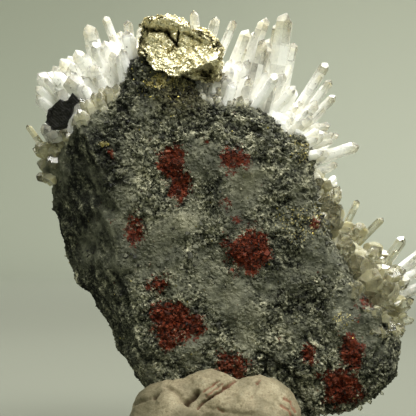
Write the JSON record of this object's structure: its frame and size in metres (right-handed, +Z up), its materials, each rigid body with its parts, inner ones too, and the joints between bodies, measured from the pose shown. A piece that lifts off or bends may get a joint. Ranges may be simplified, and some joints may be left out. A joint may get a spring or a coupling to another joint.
{
  "type": "quartz on matrix",
  "caption": "Mineral specimen: a fan of quartz crystals on the far side of a grey rock slab with pyrite and sphalerite, standing on a lump of putty for display.",
  "frame": {"origin": "on the surface that the putty stands on, under the middle of the whole", "axes": "+X to the right of the rock face, +Y away from the viewer toward the crystal side, +Z up"},
  "size_m": [0.1232, 0.0538, 0.1312],
  "materials": {
    "rock": "matte",
    "quartz": "gloss",
    "pyrite": "polished",
    "sphalerite": "gloss",
    "putty": "matte"
  },
  "bodies": {
    "root": {"matrix": "rock", "quartz_cluster": "quartz", "pyrite": "pyrite", "sphalerite": "sphalerite", "putty_base": "putty"}
  },
  "joints": []
}
